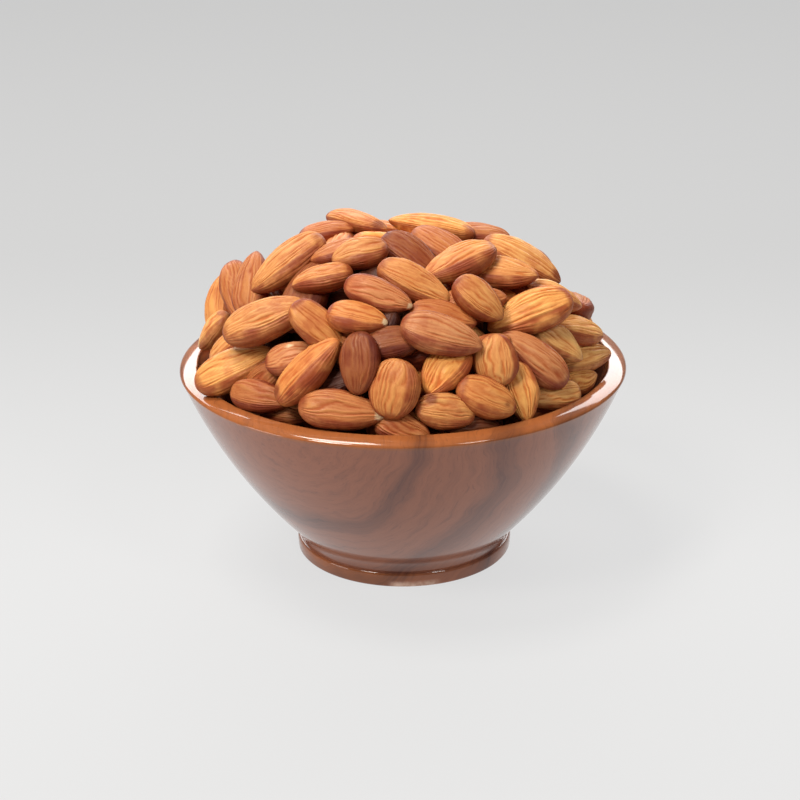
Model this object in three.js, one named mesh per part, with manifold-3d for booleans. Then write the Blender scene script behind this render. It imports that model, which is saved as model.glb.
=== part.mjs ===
// A wooden bowl heaped with whole almonds. Millimetres, +Z up, the foot's underside on z = 0,
// the photo's viewpoint on the -Y side.
import * as THREE from 'three';
import { mergeVertices } from 'three/addons/utils/BufferGeometryUtils.js';
import Module from 'manifold-3d';

// ---- bowl -------------------------------------------------------------------------------
const BOWL_HEIGHT = 64;          // foot to the top of the lip
const LIP_RADIUS = 70;           // widest point of the rounded lip
const LIP_INNER_RADIUS = 64.2;   // inner edge of the lip
const LIP_ROUND = 2.0;           // how far the lip's back falls from its inner edge to its widest point
const CREASE_RADIUS = 69.6;      // where the lip's round meets the body
const CREASE_HEIGHT = 61.2;
const BODY_PULL = [58.0, 32.8];  // the body's outer curve bends towards this point
const BODY_END = [36.9, 10.2];   // and ends here, where it starts to steepen
const COVE_PULL = [34.4, 7.5];
const COVE_FOOT = [33.7, 4.9];   // down to the foot's soft shoulder
const FOOT_RADIUS = 34.5;
const FOOT_HEIGHT = 4.6;
const FOOT_EDGE = 0.8;           // rounded edge of the foot
const RECESS_RADIUS = 26;        // shallow turned hollow under the foot
const RECESS_DEPTH = 1.6;
const INSIDE_TOP = [64.2, 61.5]; // the inner curve
const INSIDE_PULL = [51.5, 30.0];
const INSIDE_FLOOR = [27.0, 10.4];
const FLOOR_HEIGHT = 9.4;        // inside floor on the axis
const BOWL_SIDES = 56;
const GAP = 0.35;                // clearance kept between the food and the wood

// ---- camera of the photo, used only to place the almonds that show ---------------------------
const VIEW_ELEVATION = 21.7;     // degrees above the horizon
const VIEW_DISTANCE = 650;
const AIM = [-1, 0, 49];

// ---- heap -------------------------------------------------------------------------------
const HEAP_BASE = 66;            // height of the centre of the heap's dome
const HEAP_SPREAD = 60;          // dome through the middles of the outer almonds: half-width
const HEAP_RISE = 41;            // and height above HEAP_BASE
const CORE_BELOW = 8;            // the core lies this far under that dome
const CORE_SIDES = 24;
const NESTLE = 0.7;              // neighbours may press into each other by this much
const SETTLE = 5;                // the farthest an almond sinks until it touches one below
const PRESS = 1.2;               // and how far it then presses into what carries it
const REST_TRIES = 700;          // draws for the sides and back
const UNDER_TRIES = 500;         // draws for the layer below
const LOWEST_SHOWN = 62;         // almonds of the rule with their middles under this height,
const INNERMOST_SHOWN = 0.84;    // or within this share of the dome, aren't drawn singly
const WELD = 1e-3;               // vertices nearer than this are one
const FULLNESS = 1.03;           // few-sided sections are drawn out to keep their mean width

// Almonds that show in the photo, front ones first: across and up on the picture plane through
// AIM, turn of the pointed end (degrees, anticlockwise from +X), length and breadth as they
// appear, roll about the long axis, lean of the pointed end away from the viewer, and how much
// the flat side faces the viewer rather than outwards.
const SEEN = [
  [-13.3, 57.1, -14, 19.0, 8.3, 0, 0, 0.2],
  [10.8, 57.2, 170, 27.9, 10.2, 0, 0, 0.2],
  [-35.5, 43.8, 217, 28.6, 14.3, 0, 0, 0.6],
  [-12.4, 47.0, 192, 18.4, 11.7, 0, 0, 0.6],
  [-6.7, 34.3, -20, 22.8, 10.8, 35, 0, 0.4],
  [13.7, 20.9, -17, 27.3, 14.0, 0, 0, 0.6],
  [19.7, 45.1, 204, 24.8, 14.0, 10, 0, 0.5],
  [5.1, 39.4, -30, 26.0, 12.7, 0, 0, 0.5],
  [42.5, 28.3, 200, 28.6, 14.6, 0, 0, 0.7],
  [45.1, 13.3, 142, 26.0, 13.3, 0, 0, 0.5],
  [40.3, 45.7, -28, 27.9, 13.3, 0, 0, 0.4],
  [-18.7, -3.5, -7, 28.2, 13.3, 0, 0, 0.5],
  [-1.9, 3.5, 78, 19.4, 16.8, 0, 0, 0.5],
  [-29.5, 9.5, 46, 27.9, 14.0, -20, 0, 0.6],
  [-42.6, 26.0, 20, 29.2, 14.6, 0, 0, 0.6],
  [14.6, 9.5, 230, 21.0, 14.0, 0, 0, 0.5],
  [27.9, 0.3, -25, 20.3, 13.3, 0, 0, 0.5],
  [-53.0, 10.5, 25, 26.0, 14.0, 0, 0, 0.6],
  [30.8, 12.4, 96, 17.0, 14.6, 0, -10, 0.5],
  [-26.0, 23.5, -43, 21.0, 12.1, 0, 0, 0.4],
  [34.6, 41.3, -12, 21.0, 12.7, 0, 0, 0.5],
  [59.6, 12.7, 14, 18.0, 9.6, 0, 0, 0.4],
  [14.6, -4.1, -8, 19.0, 12.1, 0, 0, 0.5],
  [-13.7, 27.0, -12, 19.7, 11.4, 0, 0, 0.5],
  [-25.0, 40.2, 192, 20.0, 11.0, 0, 0, 0.4],
  [3.8, 50.8, -35, 21.0, 12.1, 0, 0, 0.5],
  [-13.0, 12.1, -92, 20.3, 13.3, 0, 0, 0.4],
  [25.6, 32.1, -42, 19.4, 12.4, 0, 0, 0.5],
  [57.2, 21.9, -10, 17.2, 10.2, 0, 0, 0.4],
  [-35.5, 14.0, 12, 17.8, 11.4, 0, 0, 0.5],
  [38.7, 2.2, -80, 19.7, 11.4, 0, 0, 0.5],
  [50.0, 0.6, 188, 16.5, 10.4, 0, 0, 0.4],
  [-44.8, 1.3, -12, 19.0, 10.8, 0, 0, 0.4],
  [-52.0, 34.9, -77, 21.0, 11.4, 0, 0, 0.4],
  [-59.5, 22.2, 230, 14.0, 10.0, 0, 0, 0.4],
  [14.6, 28.3, -10, 22.2, 12.7, 0, 0, 0.4],
  [26.0, 54.0, -15, 20.3, 10.8, 0, 0, 0.3],
  [-23.4, 54.4, 10, 18.0, 9.8, 0, 0, 0.2],
  [-19.7, 48.2, 200, 18.4, 10.8, 0, 0, 0.3],
  [57.1, 4.6, 20, 14.5, 8.6, 0, 0, 0.4],
  [50.2, 33.0, -20, 18.5, 10.2, 0, 0, 0.3],
  [-42.2, 7.0, 40, 19.0, 11.4, 0, 0, 0.4],
  [-57.5, 31.1, 75, 19.0, 10.8, 0, 0, 0.4],
  [-47.0, 37.8, 80, 21.0, 12.1, 0, 0, 0.4],
  [-2.2, 18.4, 10, 19.7, 12.1, 0, 0, 0.4],
  [41.3, 35.6, -30, 19.7, 11.4, 0, 0, 0.3],
  [50.8, 18.4, -40, 19.0, 11.4, 0, 0, 0.3],
  [0.6, -9.5, -15, 19.0, 10.8, 0, 0, 0.4],
  [-22.9, 4.1, 20, 19.7, 11.4, 0, 0, 0.4],
  [-36.5, -3.2, -10, 19.0, 10.2, 0, 0, 0.4],
  [-55.2, 18.4, 40, 18.4, 10.8, 0, 0, 0.4],
  [43.8, -1.6, 10, 17.8, 10.2, 0, 0, 0.4],
  [22.9, -8.9, 0, 17.8, 10.2, 0, 0, 0.4],
  [26.7, 14.9, 30, 19.0, 10.8, 0, 0, 0.4],
  [-17.8, 19.7, -40, 19.0, 11.4, 0, 0, 0.4],
  [-5.4, 20.9, 60, 19.0, 10.8, 0, 0, 0.4],
];

// ---- small helpers ------------------------------------------------------------------------
const RAD = Math.PI / 180;
const vec = (x, y, z) => new THREE.Vector3(x, y, z);
const turned = (v, axis, degrees) => v.clone().applyAxisAngle(axis, degrees * RAD);
const bend = (a, b, c, t) => [0, 1].map((k) =>
  a[k] * (1 - t) ** 2 + b[k] * 2 * t * (1 - t) + c[k] * t * t);

function drawer(seed) {           // evenly spread numbers in 0..1
  let state = seed;
  return () => {
    state = (Math.imul(state, 1664525) + 1013904223) >>> 0;
    return state / 4294967296;
  };
}

// ---- bowl outline, from the axis under the foot round to the axis on the inside floor ------------
function bowlOutline(extra = 0) {
  const points = [[0, RECESS_DEPTH], [RECESS_RADIUS - 1.2, RECESS_DEPTH], [RECESS_RADIUS, 0]];
  points.push([FOOT_RADIUS - 0.1 - FOOT_EDGE, 0], [FOOT_RADIUS - 0.1 - FOOT_EDGE * 0.3, FOOT_EDGE * 0.3]);
  points.push([FOOT_RADIUS - 0.1, FOOT_EDGE]);
  points.push([FOOT_RADIUS, FOOT_HEIGHT - 1.6], [FOOT_RADIUS - 0.2, FOOT_HEIGHT - 0.6]);
  points.push([FOOT_RADIUS - 0.6, FOOT_HEIGHT]);
  for (let i = 0; i < 2; i += 1) points.push(bend(COVE_FOOT, COVE_PULL, BODY_END, i / 2));
  for (let i = 0; i <= 6; i += 1) {
    points.push(bend(BODY_END, BODY_PULL, [CREASE_RADIUS, CREASE_HEIGHT], i / 6));
  }
  for (let i = 0; i <= 4; i += 1) {
    const a = (i / 5) * 90 * RAD;
    points.push([LIP_INNER_RADIUS + (LIP_RADIUS - LIP_INNER_RADIUS) * Math.cos(a) + extra * Math.cos(a),
      BOWL_HEIGHT - LIP_ROUND + (LIP_ROUND + extra) * Math.sin(a)]);
  }
  points.push([LIP_INNER_RADIUS + 0.9 - extra, BOWL_HEIGHT + extra]);
  points.push([LIP_INNER_RADIUS + 0.25 - extra, BOWL_HEIGHT - 0.35 + extra]);
  for (let i = 0; i <= 6; i += 1) {
    const [r, z] = bend([INSIDE_TOP[0], INSIDE_TOP[1] + 1.2], INSIDE_PULL, INSIDE_FLOOR, i / 6);
    points.push([r - extra, z + extra * 0.6]);
  }
  points.push([16, FLOOR_HEIGHT + 0.35 + extra], [0, FLOOR_HEIGHT + extra]);
  return points.map(([r, z]) => new THREE.Vector2(r, z));
}

function turn(points, sides) {    // a body of revolution about Z
  const shape = new THREE.LatheGeometry(points, sides);
  shape.rotateX(Math.PI / 2);
  return shape;
}

// ---- one almond: blunt at -X, pointed at +X, flat sides up and down --------------------------
const BLUNT = 0.45, POINTED = 0.70;             // powers of the outline at the two ends
const WIDEST = (BLUNT - POINTED) / (BLUNT + POINTED);
const WIDEST_VALUE = (1 + WIDEST) ** BLUNT * (1 - WIDEST) ** POINTED;
const outlineAt = (s) => (1 + s) ** BLUNT * (1 - s) ** POINTED / WIDEST_VALUE;

function almondMesh(long, broad, thick, sides) {
  const stations = [-0.84, -0.38, 0.22, 0.76];
  const points = [-long / 2, 0, 0];
  for (const s of stations) {
    for (let i = 0; i < sides; i += 1) {
      const a = ((i + 0.5) / sides) * 2 * Math.PI;
      const wide = FULLNESS * outlineAt(s);
      points.push((s * long) / 2, Math.cos(a) * (broad / 2) * wide, Math.sin(a) * (thick / 2) * wide);
    }
  }
  points.push(long / 2, 0, 0);
  const last = 1 + stations.length * sides;
  const faces = [];
  for (let i = 0; i < sides; i += 1) {
    const j = (i + 1) % sides;
    faces.push(0, 1 + j, 1 + i);
    for (let k = 0; k + 1 < stations.length; k += 1) {
      const a = 1 + k * sides;
      const b = a + sides;
      faces.push(a + i, a + j, b + j, a + i, b + j, b + i);
    }
    faces.push(last, last - sides + i, last - sides + j);
  }
  return { points, faces };
}

// balls that stand for an almond while it is being laid
function almondBalls(long, broad, thick) {
  const balls = [];
  for (const s of [-0.82, -0.44, 0, 0.42, 0.80]) {
    const wide = outlineAt(s);
    const middle = (thick / 2) * wide * 0.97;
    const edge = Math.min(middle, Math.max(0.7 * middle, 0.35 * (broad / 2) * wide));
    const aside = Math.max((broad / 2) * wide * 0.98 - edge, 0);
    const along = s * (long / 2) * 0.98;
    balls.push([along, -aside, edge], [along, 0, middle], [along, aside, edge]);
  }
  return balls;
}

// ---- laying the almonds -------------------------------------------------------------------
class Heap {
  constructor() {
    this.taken = [];               // balls already there, the bowl's wall first
    this.laid = [];
    for (let k = 0; k <= 14; k += 1) {
      const [r, z] = bend([INSIDE_TOP[0], INSIDE_TOP[1] + 1.2], INSIDE_PULL, INSIDE_FLOOR, k / 18);
      for (let i = 0; i < 120; i += 1) {
        const a = (i / 120) * 2 * Math.PI;
        this.taken.push([(r + 2.5) * Math.cos(a), (r + 2.5) * Math.sin(a), z - 1.6, 3.2]);
      }
    }
  }

  // first free distance along `way` from `from`, at least `start`; Infinity if past `limit`
  free(from, way, axes, balls, start, limit) {
    const spans = [];
    for (const [along, aside, ball] of balls) {
      const at = from.clone().addScaledVector(axes[0], along).addScaledVector(axes[1], aside);
      for (const [x, y, z, other] of this.taken) {
        const dx = at.x - x, dy = at.y - y, dz = at.z - z;
        const reach = Math.max(ball + other - NESTLE, 0);
        const b = dx * way.x + dy * way.y + dz * way.z;
        const inside = b * b - (dx * dx + dy * dy + dz * dz) + reach * reach;
        if (inside > 0) {
          const half = Math.sqrt(inside);
          spans.push([-b - half, -b + half]);
        }
      }
    }
    spans.sort((p, q) => p[0] - q[0]);
    let t = start;
    for (const [low, high] of spans) {
      if (low > t) break;
      if (high > t) t = high;
      if (t > limit) return Infinity;
    }
    return t;
  }

  lay(at, axes, size, balls, seen) {
    const first = this.taken.length;
    for (const [along, aside, ball] of balls) {
      const p = at.clone().addScaledVector(axes[0], along).addScaledVector(axes[1], aside);
      this.taken.push([p.x, p.y, p.z, ball]);
    }
    this.laid.push({ at, axes, size, balls, first, seen });
  }

  // each almond, the deepest first, sinks until it touches the core or one that lies below
  settle() {
    const depth = ({ at }) => Math.hypot(at.x / HEAP_SPREAD, at.y / HEAP_SPREAD,
      (at.z - HEAP_BASE) / HEAP_RISE);
    const order = [...this.laid].sort((p, q) => depth(p) - depth(q));
    for (const almond of order) {
      const way = outwardAt(almond.at).negate();
      let t = SETTLE;
      const last = almond.first + almond.balls.length;
      for (let k = almond.first; k < last; k += 1) {
        const [px, py, pz, ball] = this.taken[k];
        const core = reachDome(vec(px, py, pz), way, HEAP_SPREAD - CORE_BELOW + ball - PRESS,
          HEAP_RISE - CORE_BELOW + ball - PRESS);
        t = Math.min(t, Math.max(core, 0));
        for (let i = 0; i < this.taken.length; i += 1) {
          if (i >= almond.first && i < last) continue;
          const [x, y, z, other] = this.taken[i];
          const dx = px - x, dy = py - y, dz = pz - z;
          const reach = ball + other - PRESS;
          const b = dx * way.x + dy * way.y + dz * way.z;
          const inside = b * b - (dx * dx + dy * dy + dz * dz) + reach * reach;
          if (inside > 0 && b < 0) t = Math.min(t, Math.max(-b - Math.sqrt(inside), 0));
        }
      }
      almond.at.addScaledVector(way, t);
      for (let k = almond.first; k < last; k += 1) {
        this.taken[k][0] += way.x * t;
        this.taken[k][1] += way.y * t;
        this.taken[k][2] += way.z * t;
      }
      almond.sank = t;
    }
  }
}

function reachDome(from, way, spread, rise) {   // distance to the dome, or the nearest it gets
  const o = vec(from.x / spread, from.y / spread, (from.z - HEAP_BASE) / rise);
  const d = vec(way.x / spread, way.y / spread, way.z / rise);
  const a = d.dot(d), b = o.dot(d), c = o.dot(o) - 1;
  const inside = b * b - a * c;
  return inside > 0 ? (-b - Math.sqrt(inside)) / a : -b / a;
}

const outwardAt = (p) => vec(p.x / HEAP_SPREAD ** 2, p.y / HEAP_SPREAD ** 2,
  (p.z - HEAP_BASE) / HEAP_RISE ** 2).normalize();

function axesFrom(alongWay, flatWay) {
  const along = alongWay.clone().normalize();
  const flat = flatWay.clone().addScaledVector(along, -flatWay.dot(along)).normalize();
  return [along, flat.clone().cross(along), flat];
}

function layHeap() {
  const heap = new Heap();
  const e = VIEW_ELEVATION * RAD;
  const forward = vec(0, Math.cos(e), -Math.sin(e));
  const right = vec(1, 0, 0);
  const up = vec(0, Math.sin(e), Math.cos(e));
  const eye = vec(...AIM).addScaledVector(forward, -VIEW_DISTANCE);

  for (const [across, high, turnBy, long, broad, roll, lean, facing] of SEEN) {
    const way = forward.clone().multiplyScalar(VIEW_DISTANCE)
      .addScaledVector(right, across).addScaledVector(up, high).normalize();
    const spot = eye.clone().addScaledVector(way, reachDome(eye, way, HEAP_SPREAD, HEAP_RISE));
    const flat = outwardAt(spot).multiplyScalar(1 - facing).addScaledVector(way, -facing).normalize();
    const pointing = right.clone().multiplyScalar(Math.cos(turnBy * RAD))
      .addScaledVector(up, Math.sin(turnBy * RAD));
    const along = flat.clone().cross(way.clone().cross(pointing)).normalize();
    if (along.dot(pointing) < 0) along.negate();
    const [u, v, n] = axesFrom(along, flat);
    const grow = spot.clone().sub(eye).dot(forward) / VIEW_DISTANCE;
    const shortening = Math.sqrt(Math.max(0.3, 1 - u.dot(way) ** 2));
    const size = [Math.min((long * grow) / shortening, 29.5), Math.min(broad * grow, 15)];
    size.push(Math.min(Math.max(0.32 * size[0], 6.8), 0.62 * size[1] + 1));
    const v1 = turned(v, u, roll), n1 = turned(n, u, roll);
    const u2 = turned(u, v1, -lean), n2 = turned(n1, v1, -lean);
    const balls = almondBalls(...size);
    let best = null;
    for (const [over, tip] of [[0, 0], [-8, 0], [8, 0], [0, -8], [0, 8], [-14, 0], [14, 0],
      [0, -14], [0, 14], [-20, 0], [20, 0]]) {
      const side = turned(v1, u2, over);
      const axes = [turned(u2, side, tip), side, turned(turned(n2, u2, over), side, tip)];
      const t = heap.free(spot, way, axes, balls, -1, 40);
      const cost = t + 0.06 * (Math.abs(over) + Math.abs(tip));
      if (t < 40 && (!best || cost < best.cost)) best = { cost, t, axes };
    }
    if (best) heap.lay(spot.clone().addScaledVector(way, best.t), best.axes, size, balls, true);
  }

  const draw = drawer(7);
  const fill = (tries, deepest, everywhere, inward, lower) => {
    for (let i = 0; i < tries; i += 1) {
      const around = i * Math.PI * (3 - Math.sqrt(5));
      const climb = Math.asin(1 - draw() * 0.93);
      const d = [draw(), draw(), draw(), draw(), draw(), draw()];
      const way = vec(Math.cos(climb) * Math.cos(around), Math.cos(climb) * Math.sin(around),
        Math.sin(climb)).negate();
      const far = vec(0, 0, HEAP_BASE - 12).addScaledVector(way, -200);
      const spot = far.clone().addScaledVector(way,
        reachDome(far, way, HEAP_SPREAD - inward, HEAP_RISE - lower));
      const out = outwardAt(spot);
      if (!everywhere && out.dot(spot.clone().sub(eye).normalize().negate()) > 0.10) continue;
      const long = 21.5 + 5 * d[0];
      const size = [long, long * (0.50 + 0.08 * d[1]), long * (0.31 + 0.05 * d[2])];
      const level = vec(0, Math.abs(out.z) > 0.95 ? 1 : 0, Math.abs(out.z) > 0.95 ? 0 : 1);
      let along = turned(out.clone().cross(level).normalize(), out, 360 * d[3]);
      along = turned(along, out.clone().cross(along).normalize(), -22 + 44 * d[4]);
      const axes = axesFrom(along, turned(out, along, -35 + 70 * d[5]));
      const balls = almondBalls(...size);
      const t = heap.free(spot, way, axes, balls, -1, deepest);
      if (t > deepest) continue;
      const at = spot.clone().addScaledVector(way, t);
      if (!everywhere && standsOut(at, axes, balls)) continue;
      heap.lay(at, axes, size, balls, false);
    }
  };
  fill(REST_TRIES, 1, false, 2, 5.5);
  fill(REST_TRIES, 5, false, 2, 5.5);
  fill(UNDER_TRIES, 7, true, 5.5, 7);
  heap.settle();
  return heap.laid;
}

// true when a ball of the almond stands out past the heap's outer dome
function standsOut(at, axes, balls) {
  return balls.some(([along, aside, ball]) => {
    const p = at.clone().addScaledVector(axes[0], along).addScaledVector(axes[1], aside);
    const spread = HEAP_SPREAD + 2.8 - ball, rise = HEAP_RISE - 0.8 - ball;
    return (p.x ** 2 + p.y ** 2) / spread ** 2 + ((p.z - HEAP_BASE) / rise) ** 2 > 1;
  });
}

// ---- solids -------------------------------------------------------------------------------
const wasm = await Module();
wasm.setup();

function solid(geometry) {
  const g = geometry.clone();
  g.deleteAttribute('normal');
  g.deleteAttribute('uv');
  const m = mergeVertices(g, WELD);
  const cleaned = [];
  const index = m.index.array;
  for (let i = 0; i < index.length; i += 3) {
    const [a, b, c] = [index[i], index[i + 1], index[i + 2]];
    if (a !== b && b !== c && c !== a) cleaned.push(a, b, c);
  }
  return new wasm.Manifold(new wasm.Mesh({
    numProp: 3, vertProperties: new Float32Array(m.attributes.position.array),
    triVerts: new Uint32Array(cleaned),
  }));
}

function drawn(manifold) {        // back to triangles with flat shading
  const mesh = manifold.getMesh();
  const g = new THREE.BufferGeometry();
  const points = new Float32Array(mesh.numVert * 3);
  for (let i = 0; i < mesh.numVert; i += 1) {
    for (let k = 0; k < 3; k += 1) points[i * 3 + k] = mesh.vertProperties[i * mesh.numProp + k];
  }
  g.setAttribute('position', new THREE.BufferAttribute(points, 3));
  g.setIndex(new THREE.BufferAttribute(new Uint32Array(mesh.triVerts), 1));
  const flat = g.toNonIndexed();
  flat.computeVertexNormals();
  return flat;
}

function heapSolid() {
  const rise = HEAP_RISE - CORE_BELOW, spread = HEAP_SPREAD - CORE_BELOW;
  const points = [new THREE.Vector2(0, FLOOR_HEIGHT + GAP + 0.4)];
  for (let i = 6; i >= 1; i -= 1) {
    const [r, z] = bend(INSIDE_TOP, INSIDE_PULL, INSIDE_FLOOR, i / 6);
    points.push(new THREE.Vector2(r - 1.5, Math.max(z, FLOOR_HEIGHT + GAP + 1)));
  }
  for (let i = 0; i <= 8; i += 1) {
    const a = (i / 8) * 90 * RAD;
    points.push(new THREE.Vector2(i === 8 ? 0 : spread * Math.cos(a), HEAP_BASE + rise * Math.sin(a)));
  }
  let heap = solid(turn(points, CORE_SIDES));
  // those that lie wholly under the others or below the lip are part of the core
  const shown = layHeap().filter(({ at, seen }) => seen || (at.z > LOWEST_SHOWN
    && Math.hypot(at.x / HEAP_SPREAD, at.y / HEAP_SPREAD, (at.z - HEAP_BASE) / HEAP_RISE) > INNERMOST_SHOWN));
  const almonds = shown.map(({ at, axes, size, seen }) => {
    const { points: local, faces } = almondMesh(...size, seen ? 7 : 6);
    const placed = new Float32Array(local.length);
    for (let i = 0; i < local.length; i += 3) {
      const p = at.clone().addScaledVector(axes[0], local[i]).addScaledVector(axes[1], local[i + 1])
        .addScaledVector(axes[2], local[i + 2]);
      placed.set([p.x, p.y, p.z], i);
    }
    return new wasm.Manifold(new wasm.Mesh({
      numProp: 3, vertProperties: placed, triVerts: new Uint32Array(faces),
    }));
  });
  heap = wasm.Manifold.union([heap, ...almonds]);
  heap = heap.subtract(solid(turn(bowlOutline(GAP), BOWL_SIDES)));
  // twice, because welding can close off a sliver
  return largest(solid(drawn(largest(solid(drawn(largest(heap).simplify(0.02)))))));
}

function largest(manifold) {      // without loose scraps or sealed hollows
  return manifold.decompose().reduce((best, part) => (part.volume() > best.volume() ? part : best));
}

// ---- the object ---------------------------------------------------------------------------
const group = new THREE.Group();
group.name = 'bowl_of_almonds';

const bowl = new THREE.Mesh(drawn(solid(turn(bowlOutline(), BOWL_SIDES))),
  new THREE.MeshStandardMaterial({ color: 0x96604a, roughness: 0.3, metalness: 0 }));
bowl.name = 'bowl';
group.add(bowl);

const almonds = new THREE.Mesh(drawn(heapSolid()),
  new THREE.MeshStandardMaterial({ color: 0xc98a52, roughness: 0.6, metalness: 0 }));
almonds.name = 'almonds';
group.add(almonds);

export default group;
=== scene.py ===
import math
import bpy
import numpy as np
from mathutils import Matrix, Vector


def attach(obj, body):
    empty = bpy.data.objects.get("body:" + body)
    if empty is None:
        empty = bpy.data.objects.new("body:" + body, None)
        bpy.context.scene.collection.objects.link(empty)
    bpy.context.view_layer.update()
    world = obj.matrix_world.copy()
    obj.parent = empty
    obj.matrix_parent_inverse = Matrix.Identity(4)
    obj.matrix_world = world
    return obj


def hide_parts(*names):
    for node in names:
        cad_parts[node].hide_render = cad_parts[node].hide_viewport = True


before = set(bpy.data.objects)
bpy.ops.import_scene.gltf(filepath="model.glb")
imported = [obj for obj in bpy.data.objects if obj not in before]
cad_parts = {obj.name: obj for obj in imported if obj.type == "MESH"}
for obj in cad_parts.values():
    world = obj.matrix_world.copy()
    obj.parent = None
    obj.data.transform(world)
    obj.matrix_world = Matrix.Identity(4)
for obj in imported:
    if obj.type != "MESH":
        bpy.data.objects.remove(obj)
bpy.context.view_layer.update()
bpy.context.scene.view_settings.view_transform = "Standard"
print("frame loaded:", list(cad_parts))

# the camera, as the photo was taken
view = {
    "elevation": 21.7,       # degrees above the horizon
    "distance": 0.650,       # from the aim point, metres
    "aim": (-0.001, 0.0, 0.049),
    "lens": 92.16,           # mm on a 36 mm sensor
    "roll": 0.5,             # degrees, turns the picture anticlockwise
}
lights = {
    "overhead": {"at": (-0.40, -0.02, 1.38), "size": (0.50, 0.50), "power": 14.6,
                 "colour": (1.0, 0.97, 0.92)},
    "key": {"at": (-0.66, -0.66, 1.12), "size": (0.36, 0.36), "power": 13.0, "colour": (1.0, 0.96, 0.90)},
    "fill": {"at": (0.75, -0.88, 1.15), "size": (0.32, 0.40), "power": 5.5, "colour": (1.0, 0.99, 0.97)},
    "low": {"at": (-1.25, -0.45, 0.20), "size": (0.50, 0.25), "power": 2.2, "colour": (1.0, 0.93, 0.90)},
    "backWall": {"at": (0.0, 1.55, 0.95), "size": (3.0, 0.85), "power": 42.0, "colour": (1.0, 1.0, 1.0)},
    "world": 0.09,
    "aim": (0, 0, 0.07),
}
# how pale the floor is, its own glow near the bowl and far behind it, and where the one turns
# into the other: a near stretch that takes most of the change, then a far one (metres), and the
# plane's side and how far back its middle lies
floorLook = {"tone": 0.08, "near": 0.67, "far": 0.42, "from": -0.08,
             "most": (0.42, 0.66), "rest": (0.25, 1.20), "side": 8, "middle": 2.0}


def deselectAll():
    if bpy.context.object and bpy.context.object.mode != "OBJECT":
        bpy.ops.object.mode_set(mode="OBJECT")
    bpy.ops.object.select_all(action="DESELECT")


def aimAt(ob, target):
    ob.rotation_euler = (Vector(target) - ob.location).to_track_quat("-Z", "Y").to_euler()


def makeCamera():
    tilt = math.radians(view["elevation"])
    back = Vector((0, -math.cos(tilt), math.sin(tilt)))
    deselectAll()
    bpy.ops.object.camera_add(location=Vector(view["aim"]) + back * view["distance"])
    cam = bpy.context.object
    turnBy = Matrix.Rotation(math.radians(90 - view["elevation"]), 4, "X") @ \
        Matrix.Rotation(math.radians(-view["roll"]), 4, "Z")
    cam.rotation_euler = turnBy.to_euler()
    cam.data.lens = view["lens"]
    cam.data.sensor_width = 36
    cam.data.clip_start = 0.01
    bpy.context.scene.camera = cam


def makeLights():
    for name in ("overhead", "key", "fill", "low", "backWall"):
        look = lights[name]
        deselectAll()
        bpy.ops.object.light_add(type="AREA", location=look["at"])
        lamp = bpy.context.object
        lamp.name = name
        lamp.data.shape = "RECTANGLE"
        lamp.data.size, lamp.data.size_y = look["size"]
        lamp.data.energy = look["power"]
        lamp.data.color = look["colour"]
        lamp.visible_camera = False
        aimAt(lamp, lights["aim"])
    world = bpy.data.worlds.new("studio")
    world.use_nodes = True
    world.node_tree.nodes["Background"].inputs["Color"].default_value = (1, 1, 1, 1)
    world.node_tree.nodes["Background"].inputs["Strength"].default_value = lights["world"]
    bpy.context.scene.world = world


class Nodes:
    # short way to add and join shader nodes
    def __init__(self, tree):
        self.tree = tree

    def add(self, kind, inputs=None, **settings):
        node = self.tree.nodes.new(kind)
        for key, value in settings.items():
            setattr(node, key, value)
        for key, value in (inputs or {}).items():
            if isinstance(value, bpy.types.NodeSocket):
                self.tree.links.new(value, node.inputs[key])
            else:
                node.inputs[key].default_value = value
        return node

    def maths(self, what, a, b=0.0, clamp=False):
        return self.add("ShaderNodeMath", {0: a, 1: b}, operation=what, use_clamp=clamp).outputs[0]

    def noise(self, place, scale, detail, rough):
        node = self.add("ShaderNodeTexNoise", {"Vector": place, "Scale": scale, "Detail": detail,
                                               "Roughness": rough})
        return node.outputs["Fac"]

    def band(self, value, low, high, toLow=0.0, toHigh=1.0):
        return self.add("ShaderNodeMapRange", {0: value, 1: low, 2: high, 3: toLow, 4: toHigh},
                        interpolation_type="SMOOTHSTEP").outputs[0]

    def mixColour(self, share, a, b, how="MIX"):
        return self.add("ShaderNodeMix", {0: share, 6: a, 7: b}, data_type="RGBA",
                        blend_type=how).outputs[2]

    def shade(self, colour, by):
        return self.mixColour(1.0, colour, tuple(by) + (1,), "MULTIPLY")

    def stretch(self, place, scale):
        return self.add("ShaderNodeMapping", {"Vector": place, "Scale": scale}).outputs[0]

    def attribute(self, label, output):
        return self.add("ShaderNodeAttribute", attribute_name=label).outputs[output]

    def patchy(self, group, place, slow, fine):
        made = self.tree.nodes.new("ShaderNodeGroup")
        made.node_tree = group
        self.tree.links.new(place, made.inputs["Place"])
        made.inputs["Slow"].default_value, made.inputs["Fine"].default_value = slow, fine
        return made.outputs["Patches"], made.outputs["Specks"]


def newMaterial(name):
    made = bpy.data.materials.new(name)
    made.use_nodes = True
    n = Nodes(made.node_tree)
    return made, n, made.node_tree.nodes["Principled BSDF"]


def newGroup(name, takes, gives):
    tree = bpy.data.node_groups.new(name, "ShaderNodeTree")
    for label, kind, value in takes:
        socket = tree.interface.new_socket(label, in_out="INPUT", socket_type=kind)
        if value is not None:
            socket.default_value = value
    for label, kind in gives:
        tree.interface.new_socket(label, in_out="OUTPUT", socket_type=kind)
    n = Nodes(tree)
    return tree, n, n.add("NodeGroupInput"), n.add("NodeGroupOutput")


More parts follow.
